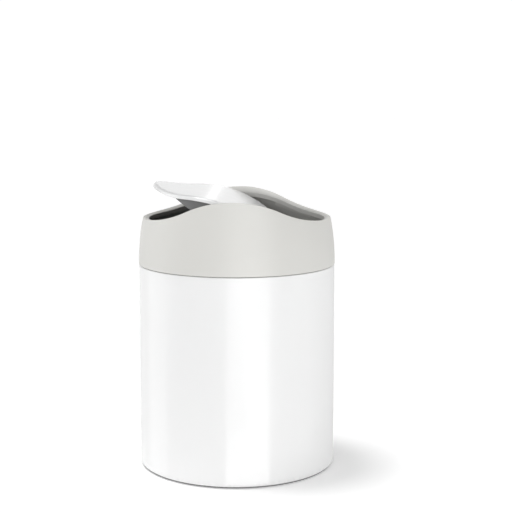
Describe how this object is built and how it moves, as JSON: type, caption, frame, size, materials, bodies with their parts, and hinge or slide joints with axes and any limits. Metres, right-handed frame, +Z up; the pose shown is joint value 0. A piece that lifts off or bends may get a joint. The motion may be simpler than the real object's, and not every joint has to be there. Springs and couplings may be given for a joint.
{
  "type": "countertop trash can",
  "caption": "Small round countertop trash can: painted steel body, lift-off moulded collar with a wavy rim, and a matching swing flap on two pivot pins.",
  "frame": {"origin": "centre of the foot ring's face on the worktop", "axes": "+Z up through the can; the flap's axis runs along Y, front is -Y, and the flap is pressed down on the +X side"},
  "size_m": [0.1144, 0.1144, 0.1657],
  "materials": {
    "white_paint": "smooth semi-gloss white paint",
    "floor_paint": "satin grey lacquer",
    "base_plastic": "dark grey moulded plastic, fine texture",
    "foot_rubber": "matt black non-skid rubber",
    "collar_plastic": "light warm grey, satin moulded plastic",
    "ring_plastic": "mid grey moulded plastic",
    "flap_plastic": "glossy white moulded plastic",
    "frame_plastic": "mid grey moulded plastic, fine texture",
    "pin_steel": "ground steel"
  },
  "bodies": {
    "can": {"can_body": "white_paint", "can_floor": "floor_paint", "base_cap": "base_plastic", "foot_ring": "foot_rubber"},
    "lid": {"collar": "collar_plastic", "plug_ring": "ring_plastic"},
    "flap": {"flap_cover": "flap_plastic", "flap_frame": "frame_plastic", "front_pivot_pin": "pin_steel", "rear_pivot_pin": "pin_steel"}
  },
  "joints": [
    {"name": "lid_lift", "type": "slide", "parent": "can", "child": "lid", "axis": [0, 0, 1], "range_m": [0, 0.06]},
    {"name": "flap_swing", "type": "hinge", "parent": "lid", "child": "flap", "pos_m": [0, 0, 0.15], "axis": [0, 1, 0], "range_deg": [-89.3, 40.7]}
  ]
}
